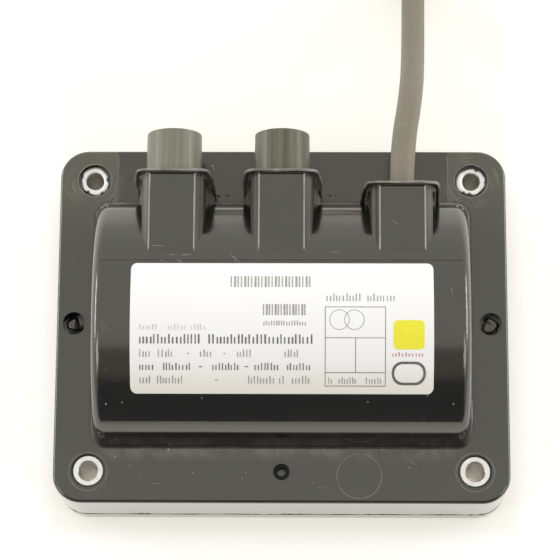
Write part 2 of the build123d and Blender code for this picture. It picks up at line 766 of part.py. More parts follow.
# Stripped cores at the cable's end, each with a crimped ferrule
sheath_end = spiral_point(coil_turns, 0)
for name, offset, middle, tip in (
    ("end_core_live", (-1.2, -0.7), (9.5, 1.6), (15.5, 8.6)),
    ("end_core_neutral", (0.0, 1.45), (9.5, 4.6), (14.5, 13.0)),
    ("end_core_earth", (1.25, -0.75), (7.5, 8.4), (10.5, 18.9)),
):
    lying_z = ferrule_collar_r + 0.05
    points = [
        (sheath_end[0] - end_core_r, sheath_end[1] + offset[0], coil_z + offset[1]),
        (sheath_end[0] + middle[0], sheath_end[1] + middle[1], lying_z + 0.3),
        (sheath_end[0] + tip[0], sheath_end[1] + tip[1], lying_z),
    ]
    core = wire(points, end_core_r, 9, [supply_cable_coil.part])
    core.label = name
    export_step(core, f"parts/{name}.step")
    direction = (Vector(*points[2]) - Vector(*points[1])).normalized()
    with BuildPart() as ferrule:
        with BuildSketch(Plane(origin=points[2], z_dir=direction)):
            Circle(ferrule_collar_r)
        extrude(amount=ferrule_collar, taper=2)
        with BuildSketch(Plane(origin=points[2], z_dir=direction)):
            Circle(ferrule_r)
        extrude(amount=ferrule_collar + ferrule_length)
    ferrule.part.label = name.replace("core", "ferrule")
    export_step(ferrule.part, f"parts/{ferrule.part.label}.step")

# Potting compound: what the inner pieces leave free inside the mouldings
with BuildPart() as potting_compound:
    add(cavity.part)
    add(base_cover.part, mode=Mode.SUBTRACT)
    for piece in [core_u_stack.part, core_i_stack.part, earth_tag.part, centre_tap_link, supply_cable.part]:
        add(piece, mode=Mode.SUBTRACT)
    for piece in coil_pieces + shunt_pieces + terminals + leads + inner_cores:
        add(piece, mode=Mode.SUBTRACT)
potting_compound.part.label = "potting_compound"
export_step(potting_compound.part, "parts/potting_compound.step")
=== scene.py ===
import math
import random

import bmesh
import bpy
from mathutils import Matrix, Vector


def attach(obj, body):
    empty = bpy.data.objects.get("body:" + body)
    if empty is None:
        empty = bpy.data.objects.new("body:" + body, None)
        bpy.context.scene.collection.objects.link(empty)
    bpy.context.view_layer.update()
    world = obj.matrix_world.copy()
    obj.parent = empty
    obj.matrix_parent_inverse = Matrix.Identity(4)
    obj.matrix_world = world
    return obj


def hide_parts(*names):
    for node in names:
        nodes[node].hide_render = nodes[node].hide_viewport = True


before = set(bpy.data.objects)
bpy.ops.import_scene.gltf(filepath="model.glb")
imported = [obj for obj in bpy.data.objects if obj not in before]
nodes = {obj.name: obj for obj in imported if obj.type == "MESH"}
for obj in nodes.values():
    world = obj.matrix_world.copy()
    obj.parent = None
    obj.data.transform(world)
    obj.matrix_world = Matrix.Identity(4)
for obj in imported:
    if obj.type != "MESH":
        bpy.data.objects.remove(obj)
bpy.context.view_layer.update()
scene = bpy.context.scene
rng = random.Random(7)
MM = 0.001

# Sizes that the looks share with the model, in millimetres
FLANGE_TOP = 27.0
TOWER_TOP = 49.4
TOWERS = ((-28.1, 34.2), (0.0, 34.2), (30.9, 31.0))
ARCH_Y = -0.4
ARCH_Z = 14.576
ARCH_R = 37.424
LABEL_FILM = 0.18
HOLE_X = 50.0
REAR_ROW_Y = 39.0
FRONT_ROW_Y = -39.2
EYELET_TOP = 25.8
INSERT_MARK = (20.1, -40.3)
PEG_X = 54.6
PEG_HEAD_Z = 24.75
PEG_HEAD_R = 2.15
LIP_INNER_R = 2.32
LIP_OUTER_R = 3.9
CABLE_R = 3.2

# How far thin trim stands off the surface below it
INK_GAP = 0.03
SCUFF_GAP = 0.02
THIN_GAP = 0.015

# Where the housing's colour and gloss change, in metres
TUBE_FRONT = (0.0345, 0.0362)
TUBE_FOOT = (0.0300, 0.0312)
LEFT_TUBE_X = -0.012
TOWER_FOOT_Z = 0.0275
TOWER_FRONT_Y = 0.0125
TOWER_SIDE_X = 0.0425
LOW_WALL = (0.0375, 0.0385)
BULGE_END = (0.0436, 0.0443)
REAR_CORNER = (0.020, 0.038)
BRUSHED_START = (0.0046, 0.0054)
BRUSHED_END = (0.0062, 0.0092)
HAZE_DEPTH = (-0.0372, -0.0336)
HAZE_BACK_Y = -0.0325
HAZE_LEVEL = (0.0265, 0.0272)
HAZE_SIDE = (0.0420, 0.0485)
PANEL_SIDE_X = 0.0439
PANEL_FRONT = (0.0318, 0.0324)
PANEL_FOOT_Z = 0.0262
PANEL_TOP = (0.0269, 0.02695)

# How far a face of a tower turns sideways, as the X part of its normal
SLANTED = (0.45, 0.55)
STEEP = (0.93, 0.95)
UPRIGHT = (0.989, 0.994)

# The part's outline and the ground under it, as the floor's paint sees them, in metres; they bound the
# floor's painted shadow and painted shade
OUTLINE_X = 0.0593
OUTLINE_Y = 0.0478
UNDER_X = 0.057
UNDER_Y = 0.045

BLACK = (0.0, 0.0, 0.0)
WHITE = (1.0, 1.0, 1.0)


# Shader helpers
def new_material(name):
    material = bpy.data.materials.new(name)
    material.use_nodes = True
    tree = material.node_tree
    return material, tree, tree.nodes["Principled BSDF"]


def node(tree, kind, **values):
    """A shader node with its settings, and its inputs by name."""
    made = tree.nodes.new(kind)
    for key, value in values.items():
        if key in made.inputs:
            made.inputs[key].default_value = value
        else:
            setattr(made, key, value)
    return made


def link(tree, out_socket, in_socket):
    tree.links.new(out_socket, in_socket)


def object_coords(tree, scale=(1, 1, 1)):
    coords = node(tree, "ShaderNodeTexCoord")
    mapping = node(tree, "ShaderNodeMapping", Scale=scale)
    link(tree, coords.outputs["Object"], mapping.inputs["Vector"])
    return mapping.outputs["Vector"]


def split_xyz(tree, vector):
    """The three parts of a vector."""
    parts = node(tree, "ShaderNodeSeparateXYZ")
    link(tree, vector, parts.inputs["Vector"])
    return parts.outputs["X"], parts.outputs["Y"], parts.outputs["Z"]


def noise(tree, vector, scale, detail=3.0, roughness=0.5, distortion=0.0):
    made = node(tree, "ShaderNodeTexNoise", Scale=scale, Detail=detail, Roughness=roughness)
    made.inputs["Distortion"].default_value = distortion
    link(tree, vector, made.inputs["Vector"])
    return made.outputs["Fac"]


def ramp(tree, fac, stops):
    """A colour ramp with given (place, colour) stops."""
    made = node(tree, "ShaderNodeValToRGB")
    link(tree, fac, made.inputs["Fac"])
    points = made.color_ramp.elements
    while len(points) < len(stops):
        points.new(0.5)
    for point, (place, colour) in zip(points, stops):
        point.position = place
        point.color = (*colour, 1.0)
    return made.outputs["Color"]


def map_range(tree, value, low, high, to_low, to_high, smooth=True):
    made = node(tree, "ShaderNodeMapRange")
    made.interpolation_type = "SMOOTHSTEP" if smooth else "LINEAR"
    link(tree, value, made.inputs["Value"])
    made.inputs["From Min"].default_value = low
    made.inputs["From Max"].default_value = high
    made.inputs["To Min"].default_value = to_low
    made.inputs["To Max"].default_value = to_high
    return made.outputs["Result"]


def rising(tree, value, low, high):
    """From 0 at low to 1 at high."""
    return map_range(tree, value, low, high, 0.0, 1.0)


def falling(tree, value, low, high):
    """From 1 at low to 0 at high."""
    return map_range(tree, value, low, high, 1.0, 0.0)


def math_node(tree, operation, a, b=0.0):
    made = node(tree, "ShaderNodeMath", operation=operation)
    for socket, value in zip(made.inputs, (a, b)):
        if isinstance(value, (int, float)):
            socket.default_value = value
        else:
            link(tree, value, socket)
    return made.outputs["Value"]


def above(tree, value, limit):
    return math_node(tree, "GREATER_THAN", value, limit)


def below(tree, value, limit):
    return math_node(tree, "LESS_THAN", value, limit)


def rest(tree, value):
    """What is left of 1."""
    return math_node(tree, "SUBTRACT", 1.0, value)


def product(tree, first, *others):
    result = first
    for value in others:
        result = math_node(tree, "MULTIPLY", result, value)
    return result


def greatest(tree, first, *others):
    result = first
    for value in others:
        result = math_node(tree, "MAXIMUM", result, value)
    return result


def mix_colour(tree, fac, first, second):
    """One colour turning into another, where each is a colour or a socket."""
    made = node(tree, "ShaderNodeMix", data_type="RGBA")
    for socket, value in ((made.inputs["Factor"], fac), (made.inputs[6], first), (made.inputs[7], second)):
        if isinstance(value, tuple):
            socket.default_value = (*value, 1.0)
        else:
            link(tree, value, socket)
    return made.outputs[2]


def bumps(tree, shader, layers):
    """Chains bump layers of (height socket, distance in metres, strength) into the shader's normal."""
    normal = None
    for height, distance, strength in layers:
        made = node(tree, "ShaderNodeBump", Strength=strength, Distance=distance)
        link(tree, height, made.inputs["Height"])
        if normal is not None:
            link(tree, normal, made.inputs["Normal"])
        normal = made.outputs["Normal"]
    link(tree, normal, shader.inputs["Normal"])


def mottle(tree, shader, fac, dark, light, low=0.3, high=0.7):
    """A base colour that varies between two with a texture."""
    link(tree, ramp(tree, fac, [(low, dark), (high, light)]), shader.inputs["Base Color"])


def gloss(tree, shader, fac, rough_low, rough_high):
    """A roughness that varies between two values with a texture."""
    link(tree, map_range(tree, fac, 0.3, 0.7, rough_low, rough_high), shader.inputs["Roughness"])


# Regions of the housing, each a mask that is 0 outside the region
def tower_masks(tree, y, z, aside, sideways, tubes):
    """The towers' chamfers, upright walls and feet, told by how far a face turns sideways."""
    zone = product(
        tree,
        above(tree, z, TOWER_FOOT_Z),
        above(tree, y, TOWER_FRONT_Y),
        below(tree, aside, TOWER_SIDE_X),
        rest(tree, tubes),
    )
    slanted = rising(tree, sideways, *SLANTED)
    low = product(tree, falling(tree, z, *LOW_WALL), zone)
    high = rest(tree, low)
    chamfer = product(tree, slanted, zone, rest(tree, rising(tree, sideways, *STEEP)), high)
    wall = product(tree, rising(tree, sideways, *UPRIGHT), zone, high)
    foot = product(tree, low, slanted)
    return chamfer, wall, foot


def brushed_rings_with_sheen(tree, vector, x, y, aside):
    """Patchy brushed marks that run round the two rear eyelets, painted pale as their highlight."""
    from_x = math_node(tree, "SUBTRACT", aside, HOLE_X * MM)
    from_y = math_node(tree, "SUBTRACT", y, REAR_ROW_Y * MM)
    squares = math_node(tree, "ADD", product(tree, from_x, from_x), product(tree, from_y, from_y))
    distance = math_node(tree, "SQRT", squares)
    polar = node(tree, "ShaderNodeCombineXYZ")
    link(tree, product(tree, distance, 2600.0), polar.inputs["X"])
    link(tree, math_node(tree, "ARCTAN2", from_y, from_x), polar.inputs["Y"])
    link(tree, x, polar.inputs["Z"])
    marks = map_range(tree, noise(tree, polar.outputs["Vector"], 1.0, 2.0), 0.42, 0.68, 0.0, 0.55)
    patches = map_range(tree, noise(tree, vector, 150.0, 2.0), 0.42, 0.6, 0.1, 1.0)
    near = product(tree, rising(tree, distance, *BRUSHED_START), falling(tree, distance, *BRUSHED_END))
    return product(tree, marks, patches, near)


def front_haze(tree, vector, y, z, aside):
    """A patchy haze on the flange along the bulge's front foot."""
    low, high = HAZE_LEVEL
    return product(
        tree,
        map_range(tree, y, *HAZE_DEPTH, 0.0, 0.6),
        below(tree, z, high),
        below(tree, y, HAZE_BACK_Y),
        map_range(tree, noise(tree, vector, 190.0, 4.0, 0.6), 0.38, 0.62, 0.15, 1.0),
        above(tree, z, low),
        falling(tree, aside, *HAZE_SIDE),
    )


def plastic_material(name, dark, light, rough_low, rough_high, coat, grain):
    """Black moulded plastic: flow marks, dust and uneven gloss, with the housing's regions. Among them are
    painted highlights on the tower feet and rear corners, a painted sheen on the brushed marks round the rear
    eyelets, and upright tower walls painted lighter against their shade.
    """
    material, tree, shader = new_material(name)
    vector = object_coords(tree)
    x, y, z = split_xyz(tree, vector)
    normal_x = split_xyz(tree, node(tree, "ShaderNodeNewGeometry").outputs["True Normal"])[0]
    aside = math_node(tree, "ABSOLUTE", x)
    sideways = math_node(tree, "ABSOLUTE", normal_x)
    broad = noise(tree, vector, 28.0, 3.0, 0.55, 0.4)
    fine = noise(tree, vector, 420.0, 3.0, 0.6)
    speck = noise(tree, vector, 1500.0, 2.0)
    streak = noise(tree, object_coords(tree, (900.0, 12.0, 900.0)), 1.0, 2.0)
    fine_streak = noise(tree, object_coords(tree, (2600.0, 14.0, 1.0)), 1.0, 2.0)

    tubes = product(tree, rising(tree, y, *TUBE_FRONT), rising(tree, z, *TUBE_FOOT))
    chamfer, wall, foot = tower_masks(tree, y, z, aside, sideways, tubes)
    grazed = greatest(tree, chamfer, foot)
    # Rear corners beyond the bulge's ends, which get a painted reflection below
    corner = product(tree, rising(tree, aside, *BULGE_END), rising(tree, y, *REAR_CORNER))
    dust = ramp(tree, noise(tree, vector, 1100.0, 2.0, 0.7), [(0.68, BLACK), (0.78, WHITE)])
    dust_patches = map_range(tree, noise(tree, vector, 55.0, 3.0, 0.6, 0.8), 0.50, 0.66, 0.0, 0.5)
    panel = product(
        tree,
        below(tree, aside, PANEL_SIDE_X),
        falling(tree, z, *PANEL_TOP),
        above(tree, z, PANEL_FOOT_Z),
        map_range(tree, y, *PANEL_FRONT, 0.0, 0.22),
    )

    olive = ramp(tree, streak, [(0.35, (0.075, 0.075, 0.058)), (0.68, (0.155, 0.154, 0.122))])
    streaked = ramp(tree, fine_streak, [(0.4, (0.05, 0.05, 0.045)), (0.65, (0.13, 0.13, 0.12))])
    foot_highlight_streak = ramp(tree, fine_streak, [(0.4, (0.20, 0.195, 0.17)), (0.65, (0.32, 0.315, 0.28))])
    colour = ramp(tree, broad, [(0.32, dark), (0.72, light)])
    for mask, paint in (
        (tubes, olive),
        (product(tree, tubes, below(tree, x, LEFT_TUBE_X), 0.35), (0.30, 0.295, 0.25)),
        (chamfer, streaked),
        # Tower feet: pale streaks, a painted highlight
        (foot, foot_highlight_streak),
        # Upright tower walls: painted lighter to offset the shade in the groove beside them
        (wall, (0.055, 0.054, 0.048)),
        # Rear corners: a lighter olive, a painted reflection
        (product(tree, corner, broad), (0.075, 0.072, 0.045)),
        # Brushed marks round the rear eyelets, painted pale as their highlight
        (brushed_rings_with_sheen(tree, vector, x, y, aside), (0.20, 0.195, 0.15)),
        (front_haze(tree, vector, y, z, aside), (0.15, 0.15, 0.135)),
        (product(tree, dust, dust_patches), (0.20, 0.20, 0.19)),
    ):
        colour = mix_colour(tree, mask, colour, paint)
    link(tree, colour, shader.inputs["Base Color"])

    mottling = math_node(tree, "ADD", product(tree, broad, 0.55), product(tree, fine, 0.45))
    rough = greatest(
        tree,
        map_range(tree, mottling, 0.35, 0.68, rough_low, rough_high),
        product(tree, tubes, 0.42),
        product(tree, grazed, 0.5),
        product(tree, wall, 0.8),
    )
    link(tree, rough, shader.inputs["Roughness"])
    shader.inputs["IOR"].default_value = 1.55
    shader.inputs["Specular Tint"].default_value = (1.0, 0.99, 0.72, 1.0)
    dull = greatest(tree, tubes, grazed, wall, panel)
    link(tree, map_range(tree, dull, 0.0, 1.0, coat, 0.1, False), shader.inputs["Coat Weight"])
    shader.inputs["Coat IOR"].default_value = 1.55
    shader.inputs["Coat Roughness"].default_value = 0.12
    ridged = product(tree, streak, tubes)
    fine_layers = [(fine, 0.00002, grain), (speck, 0.000006, grain)]
    bumps(tree, shader, [(broad, 0.00012, 0.25), *fine_layers, (ridged, 0.00012, 0.6)])
    return material


def metal_material(name, dark, light, rough_low, rough_high):
    """Plated metal with mottling and small dents."""
    material, tree, shader = new_material(name)
    vector = object_coords(tree)
    broad = noise(tree, vector, 700.0, 4.0, 0.6)
    fine = noise(tree, vector, 4200.0, 3.0, 0.6)
    mottle(tree, shader, broad, dark, light)
    gloss(tree, shader, broad, rough_low, rough_high)
    shader.inputs["Metallic"].default_value = 1.0
    bumps(tree, shader, [(broad, 0.00012, 0.5), (fine, 0.00002, 0.4)])
    return material


def plain_material(name, dark, light, rough_low, rough_high, scale=300.0, bump=0.00003):
    """A plain material with mottling, uneven gloss and a light grain."""
    material, tree, shader = new_material(name)
    vector = object_coords(tree)
    broad = noise(tree, vector, scale * 0.25, 3.0, 0.55)
    fine = noise(tree, vector, scale * 2.0, 3.0, 0.6)
    mottle(tree, shader, broad, dark, light)
    gloss(tree, shader, fine, rough_low, rough_high)
    bumps(tree, shader, [(fine, bump, 0.5)])
    return material


def layered_material(name, dark, light, rough, pitch, axis, metallic):
    """Fine even lines along one axis, for sheet stacks and wound wire."""
    material, tree, shader = new_material(name)
    vector = object_coords(tree)
    wave = node(tree, "ShaderNodeTexWave", Scale=1.0 / (pitch * 20.0), Distortion=0.4, Detail=1.0)
    wave.bands_direction = axis
    link(tree, vector, wave.inputs["Vector"])
    lines = wave.outputs["Fac"]
    mottle(tree, shader, lines, dark, light, 0.1)
    gloss(tree, shader, noise(tree, vector, 90.0), rough - 0.08, rough + 0.1)
    shader.inputs["Metallic"].default_value = metallic
    bumps(tree, shader, [(lines, pitch * 0.3, 0.6)])
    return material


def striped_material(name):
    """Green insulation with a yellow stripe along one side."""
    material, tree, shader = new_material(name)
    vector = object_coords(tree)
    fine = noise(tree, vector, 900.0, 3.0, 0.6)
    height = math_node(tree, "ADD", split_xyz(tree, vector)[2], product(tree, fine, 0.0002))
    across = map_range(tree, height, 0.0008, 0.0032, 0.0, 1.0, False)
    green = [(0.0, (0.05, 0.26, 0.06)), (0.52, (0.06, 0.32, 0.07))]
    yellow = [(0.60, (0.72, 0.60, 0.05)), (1.0, (0.80, 0.68, 0.07))]
    link(tree, ramp(tree, across, green + yellow), shader.inputs["Base Color"])
    gloss(tree, shader, fine, 0.35, 0.5)
    bumps(tree, shader, [(fine, 0.00003, 0.4)])
    return material


def sheath_material(name):
    """Taupe rubber-like sheath with scuffs and dust along it."""
    material, tree, shader = new_material(name)
    vector = object_coords(tree)
    broad = noise(tree, vector, 60.0, 4.0, 0.6, 0.5)
    fine = noise(tree, vector, 900.0, 4.0, 0.65)
    scuff = noise(tree, vector, 260.0, 5.0, 0.7, 1.5)
    base = ramp(tree, broad, [(0.3, (0.202, 0.182, 0.132)), (0.7, (0.248, 0.222, 0.163))])
    scuffed = product(tree, ramp(tree, scuff, [(0.60, BLACK), (0.74, WHITE)]), 0.35)
    link(tree, mix_colour(tree, scuffed, base, (0.40, 0.37, 0.30)), shader.inputs["Base Color"])
    gloss(tree, shader, broad, 0.42, 0.58)
    bumps(tree, shader, [(broad, 0.0002, 0.25), (fine, 0.00004, 0.35)])
    return material


def film_material(name):
    """White printed film, a little uneven in gloss, and darker and creamier toward the front, a painted shade
    where it curves away from the light.
    """
    material, tree, shader = new_material(name)
    vector = object_coords(tree)
    broad = noise(tree, vector, 40.0)
    fine = noise(tree, vector, 1600.0, 3.0, 0.6)
    # Painted shade: darker and creamier toward the front, where the film curves away from the light
    front_curve_shade = rising(tree, split_xyz(tree, vector)[1], -0.014, -0.022)
    clean = ramp(tree, broad, [(0.3, (0.945, 0.945, 0.935)), (0.7, (0.965, 0.965, 0.955))])
    link(tree, mix_colour(tree, front_curve_shade, clean, (0.90, 0.875, 0.79)), shader.inputs["Base Color"])
    gloss(tree, shader, broad, 0.42, 0.52)
    bumps(tree, shader, [(broad, 0.0001, 0.1), (fine, 0.00001, 0.2)])
    return material


def ink_material(name, dark, light):
    """Printed ink that is patchy at a fine scale."""
    material, tree, shader = new_material(name)
    patch = noise(tree, object_coords(tree), 2200.0, 3.0, 0.65)
    mottle(tree, shader, patch, dark, light, 0.35)
    gloss(tree, shader, patch, 0.4, 0.55)
    bumps(tree, shader, [(patch, 0.00001, 0.2)])
    return material


HOUSING_BLACKS = ((0.0122, 0.0120, 0.0120), (0.0165, 0.0162, 0.016))
COVER_BLACKS = ((0.018, 0.018, 0.016), (0.026, 0.026, 0.024))
MELTED_BLACKS = ((0.008, 0.008, 0.008), (0.012, 0.012, 0.011))
RESIN_BLACKS = ((0.035, 0.03, 0.026), (0.07, 0.06, 0.05))
COVE_GREYS = ((0.035, 0.034, 0.030), (0.075, 0.073, 0.064))
housing_plastic = plastic_material("housing_plastic", *HOUSING_BLACKS, 0.16, 0.24, 1.0, 0.10)
cover_plastic = plastic_material("cover_plastic", *COVER_BLACKS, 0.18, 0.28, 1.0, 0.2)
melted_plastic = plastic_material("melted_plastic", *MELTED_BLACKS, 0.06, 0.12, 1.0, 0.3)
eyelet_metal = metal_material("eyelet_metal", (0.7, 0.69, 0.65), (0.93, 0.92, 0.88), 0.28, 0.5)
lip_metal = metal_material("lip_metal", (0.86, 0.85, 0.81), (0.97, 0.96, 0.93), 0.5, 0.65)
terminal_metal = metal_material("terminal_metal", (0.6, 0.45, 0.18), (0.82, 0.66, 0.32), 0.2, 0.4)
bare_metal = metal_material("bare_metal", (0.6, 0.58, 0.52), (0.8, 0.76, 0.68), 0.25, 0.45)
ferrule_metal = metal_material("ferrule_metal", (0.62, 0.62, 0.6), (0.82, 0.82, 0.8), 0.2, 0.38)
core_metal = layered_material("core_metal", (0.10, 0.105, 0.12), (0.30, 0.31, 0.33), 0.45, 0.0005, "Y", 0.8)
wire_enamel = layered_material("wire_enamel", (0.20, 0.06, 0.02), (0.58, 0.24, 0.09), 0.32, 0.0004, "X", 0.6)
bobbin_plastic = plain_material("bobbin_plastic", (0.62, 0.58, 0.46), (0.74, 0.70, 0.58), 0.4, 0.55)
card_paper = plain_material("card_paper", (0.50, 0.40, 0.24), (0.66, 0.55, 0.36), 0.7, 0.9, 500.0)
potting_resin = plain_material("potting_resin", *RESIN_BLACKS, 0.35, 0.6, 200.0, 0.00008)
tie_nylon = plain_material("tie_nylon", (0.016, 0.016, 0.016), (0.026, 0.026, 0.026), 0.35, 0.5)
core_brown = plain_material("core_brown", (0.09, 0.035, 0.015), (0.14, 0.06, 0.03), 0.35, 0.5)
core_blue = plain_material("core_blue", (0.02, 0.09, 0.34), (0.04, 0.14, 0.46), 0.35, 0.5)
scuff_plastic = plain_material("scuff_plastic", (0.09, 0.09, 0.085), (0.24, 0.24, 0.225), 0.5, 0.8, 900.0)
seam_plastic = plain_material("seam_plastic", (0.030, 0.029, 0.025), (0.060, 0.058, 0.050), 0.5, 0.8, 700.0)
# Pale paint for the painted highlights on the tower edges
edge_highlight_plastic = plain_material("edge_highlight_plastic", (0.26, 0.26, 0.235), (0.42, 0.42, 0.385), 0.35, 0.5, 900.0)
# Pale paint for the painted highlights on the rear panel's ends and rings
panel_highlight_plastic = plain_material("panel_highlight_plastic", (0.15, 0.15, 0.13), (0.30, 0.30, 0.27), 0.4, 0.6, 900.0)
cove_plastic = plain_material("cove_plastic", *COVE_GREYS, 0.2, 0.34, 700.0, 0.0)
# Pale paint for the flash beads, a painted highlight
flash_highlight_plastic = plain_material("flash_highlight_plastic", (0.14, 0.14, 0.12), (0.34, 0.335, 0.30), 0.3, 0.5, 1400.0)
# Near-black paint for the painted shade in the gap round the front peg
gap_shade_plastic = plain_material("gap_shade_plastic", (0.004, 0.004, 0.004), (0.008, 0.008, 0.008), 0.9, 1.0, 900.0)
speck_plastic = plain_material("speck_plastic", (0.30, 0.30, 0.28), (0.5, 0.5, 0.47), 0.5, 0.8, 900.0)
earth_stripe = striped_material("earth_stripe")
cable_sheath = sheath_material("cable_sheath")
label_film = film_material("label_film")
ink_dark = ink_material("ink_dark", (0.08, 0.08, 0.08), (0.24, 0.24, 0.235))
ink_grey = ink_material("ink_grey", (0.26, 0.26, 0.25), (0.50, 0.50, 0.49))
ink_faint = ink_material("ink_faint", (0.55, 0.55, 0.53), (0.80, 0.80, 0.79))
ink_yellow = ink_material("ink_yellow", (0.86, 0.80, 0.02), (0.95, 0.90, 0.05))
ink_red = ink_material("ink_red", (0.55, 0.20, 0.20), (0.75, 0.42, 0.40))

node_materials = (
    (housing_plastic, ("housing",)),
    (cover_plastic, ("base_cover",)),
    (eyelet_metal, ("eyelet_front_left", "eyelet_front_right", "eyelet_rear_left", "eyelet_rear_right")),
    (label_film, ("rating_label",)),
    (core_metal, ("core_u_stack", "core_i_stack", "shunt_pack")),
    (card_paper, ("shunt_spacer_lower", "shunt_spacer_upper")),
    (bobbin_plastic, ("hv_left_bobbin", "hv_right_bobbin", "primary_bobbin")),
    (wire_enamel, ("hv_left_winding", "hv_right_winding", "primary_winding")),
    (terminal_metal, ("hv_terminal_left", "hv_terminal_right")),
    (ferrule_metal, ("earth_tag", "end_ferrule_live", "end_ferrule_neutral", "end_ferrule_earth")),
    (bare_metal, ("centre_tap_link",)),
    (core_brown, ("hv_lead_left", "hv_lead_right", "live_lead", "end_core_live")),
    (core_blue, ("neutral_lead", "end_core_neutral")),
    (earth_stripe, ("earth_lead", "end_core_earth")),
    (tie_nylon, ("coil_tie",)),
    (cable_sheath, ("supply_cable", "supply_cable_coil")),
    (potting_resin, ("potting_compound",)),
)
for material, names in node_materials:
    for name in names:
        mesh = nodes[name].data
        mesh.materials.clear()
        mesh.materials.append(material)


# Shape helpers, in millimetres
def new_object(name, data):
    made = bpy.data.objects.new(name, data)
    scene.collection.objects.link(made)
    return made


def mesh_piece(name, bm, material, smooth=False):
    """A new mesh piece that rides on the body."""
    mesh = bpy.data.meshes.new(name)
    bm.to_mesh(mesh)
    bm.free()
    for polygon in mesh.polygons:
        polygon.use_smooth = smooth
    mesh.materials.append(material)
    piece = new_object(name, mesh)
    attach(piece, "root")


def shell_piece(name, bm, material, smooth=False):
    """A piece whose faces all turn outward."""
    bmesh.ops.recalc_face_normals(bm, faces=bm.faces)
    mesh_piece(name, bm, material, smooth)


def print_piece(name, bm, material):
    """Thin faces laid on the part, all turned upward."""
    bmesh.ops.recalc_face_normals(bm, faces=bm.faces)
    for face in bm.faces:
        if face.normal.z < 0:
            face.normal_flip()
    mesh_piece(name, bm, material)


def curve_piece(name, kind, half, sides, places, material, fineness=12):
    """A round strand through (x, y, z, swell) places that rides on the body."""
    curve = bpy.data.curves.new(name, "CURVE")
    curve.dimensions = "3D"
    curve.bevel_depth = half * MM
    curve.bevel_resolution = sides
    curve.resolution_u = fineness
    curve.use_fill_caps = True
    spline = curve.splines.new(kind)
    spline.points.add(len(places) - 1)
    for point, (x, y, z, swell) in zip(spline.points, places):
        point.co = (x * MM, y * MM, z * MM, 1.0)
        point.radius = swell
    if kind == "NURBS":
        spline.order_u = 3
        spline.use_endpoint_u = True
    curve.materials.append(material)
    piece = new_object(name, curve)
    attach(piece, "root")
    return piece


def add_point(bm, x, y, z):
    return bm.verts.new(Vector((x, y, z)) * MM)


def arch_z(y, lift):
    """The height of the label's face at a given Y, with a lift above it."""
    radius = ARCH_R + LABEL_FILM + lift
    return ARCH_Z + math.sqrt(radius * radius - (y - ARCH_Y) ** 2)


def arch_point(bm, x, y, lift):
    return bm.verts.new((x * MM, y * MM, arch_z(y, lift) * MM))


def bulge_skin(y):
    return arch_z(y, SCUFF_GAP - LABEL_FILM)


def tower_skin(_):
    return TOWER_TOP + SCUFF_GAP


def flange_skin(_):
    return FLANGE_TOP + SCUFF_GAP


def box_outline(x_low, y_low, x_high, y_high):
    return [(x_low, y_low), (x_high, y_low), (x_high, y_high), (x_low, y_high)]


def rounded_outline(x_low, y_low, x_high, y_high, radius, steps=5):
    """A rectangle with rounded corners."""
    points = []
    corners = ((x_high - radius, y_high - radius, 0), (x_low + radius, y_high - radius, 90))
    corners += ((x_low + radius, y_low + radius, 180), (x_high - radius, y_low + radius, 270))
    for x, y, start in corners:
        for step in range(steps + 1):
            angle = math.radians(start + 90 * step / steps)
            points.append((x + radius * math.cos(angle), y + radius * math.sin(angle)))
    return points


def spread(path, pitch, whole):
    """Places along an open path without its end, where whole turns a count of pitches into an integer."""
    places = []
    for first, last in zip(path, path[1:]):
        run = Vector(last) - Vector(first)
        count = max(1, whole(run.length / pitch))
        places += [Vector(first) + run * step / count for step in range(count)]
    return places


def bridge(bm, rows, closed=False):
    """Quads between each row of points and the next one."""
    for low, high in zip(rows, rows[1:] + rows[:1] if closed else rows[1:]):
        for index in range(len(low) - 1):
            bm.faces.new([low[index], high[index], high[index + 1], low[index + 1]])


def ring_quads(x, y, outer, inner, steps):
    """The corners of the flat quads that make up a ring."""
    quads = []
    for step in range(steps):
        a = 2 * math.pi * step / steps
        b = 2 * math.pi * (step + 1) / steps
        corners = ((outer, a), (outer, b), (inner, b), (inner, a))
        quads.append([(x + radius * math.cos(turn), y + radius * math.sin(turn)) for radius, turn in corners])
    return quads


def flat_ring(bm, x, y, inner, outer):
    """A flat ring just above the flange."""
    for quad in ring_quads(x, y, outer, inner, 48):
        bm.faces.new([add_point(bm, px, py, FLANGE_TOP + THIN_GAP) for px, py in quad])


def add_stroke(bm, first, last, width, height, steps=7):
    """A scratch that swells in its middle and wanders a little, at the height that a function gives."""
    run = Vector(last) - Vector(first)
    side = Vector((-run.y, run.x)).normalized()
    rows = []
    for step in range(steps + 1):
        along = step / steps
        centre = Vector(first) + run * along + side * rng.uniform(-0.12, 0.12) * width
        half = 0.5 * width * (0.25 + math.sin(math.pi * along)) * rng.uniform(0.6, 1.2)
        row = []
        for point in (centre - side * half, centre + side * half):
            row.append(bm.verts.new((point.x * MM, point.y * MM, height(point.y) * MM)))
        rows.append(row)
    bridge(bm, rows)


def add_strip(bm, left, right, waver, steps=24):
    """A narrow strip between two lines given by their ends, a little uneven in width."""
    rows = []
    for step in range(steps + 1):
        row = []
        for first, last in (left, right):
            place = Vector(first).lerp(Vector(last), step / steps)
            place.x += rng.uniform(-waver, waver)
            row.append(add_point(bm, *place))
        rows.append(row)
    bridge(bm, rows)


def add_crumb(bm, x, y, z, radius, steps, swell, squash):
    """An uneven little lump, made lower than it is wide."""
    made = bmesh.ops.create_icosphere(bm, subdivisions=steps, radius=radius * MM)
    for vert in made["verts"]:
        vert.co *= rng.uniform(*swell)
        vert.co.z *= squash
        vert.co += Vector((x, y, z)) * MM


